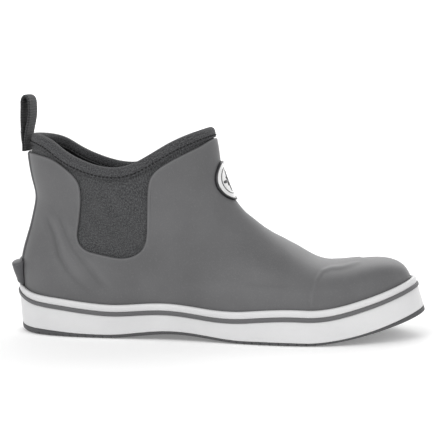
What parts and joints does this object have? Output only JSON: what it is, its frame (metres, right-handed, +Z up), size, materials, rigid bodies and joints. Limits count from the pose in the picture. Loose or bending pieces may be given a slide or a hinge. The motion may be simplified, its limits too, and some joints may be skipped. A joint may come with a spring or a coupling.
{
  "type": "deck boot",
  "caption": "Ankle-high slip-on deck boot for the right foot: rubber upper with stretch side panels, bound collar, heel pull loop, foxed flat sole and lift-out footbed.",
  "frame": {"origin": "under the middle of the bounding box, on the ground", "axes": "+X to the toe, -Y to the outer side of the foot, +Z up"},
  "size_m": [0.3092, 0.1142, 0.1765],
  "materials": {
    "outsole_rubber": "matt moulded rubber, dark grey",
    "foam": "closed-cell foam",
    "steel": "plain spring steel",
    "fibreboard": "pressed fibre",
    "white_rubber": "smooth white foxing rubber, satin",
    "stripe_rubber": "smooth grey rubber, satin",
    "upper_rubber": "soft matt grey rubber with a faint sheen",
    "stay_rubber": "darker grey rubber, satin",
    "stiffener": "thermoplastic sheet",
    "neoprene": "dark heather knit bonded to foam",
    "binding": "dark stretch knit",
    "thread": "black bonded thread",
    "webbing": "coarse grey woven webbing",
    "badge_black": "satin black",
    "badge_white": "satin white",
    "footbed_foam": "open-cell foam",
    "cover_fabric": "brushed mesh",
    "pad_foam": "soft gel foam"
  },
  "bodies": {
    "boot": {"outsole": "outsole_rubber", "midsole": "foam", "shank": "steel", "insole_board": "fibreboard", "foxing_band": "white_rubber", "foxing_stripe": "stripe_rubber", "foxing_bead": "white_rubber", "rubber_upper": "upper_rubber", "heel_stay": "stay_rubber", "kick_tab": "stay_rubber", "toe_puff": "stiffener", "heel_counter": "stiffener", "neoprene_bootie": "neoprene", "collar_binding": "binding", "collar_stitching": "thread", "badge_rim": "badge_black", "badge_face": "badge_white", "badge_emblem": "badge_black"},
    "loop": {"pull_loop": "webbing", "loop_tack": "thread"},
    "insole": {"footbed": "footbed_foam", "footbed_cover": "cover_fabric", "heel_pad": "pad_foam"}
  },
  "joints": [
    {"name": "pull_loop_fold", "type": "hinge", "parent": "boot", "child": "loop", "pos_m": [-0.1429, -0.0007, 0.1358], "axis": [0, 1, 0], "range_deg": [-100, 0], "stiffness_Nm_per_rad": 0.02},
    {"name": "footbed_lift", "type": "hinge", "parent": "boot", "child": "insole", "pos_m": [0.1385, 0, 0.0275], "axis": [0, 1, 0], "range_deg": [0, 4]}
  ]
}
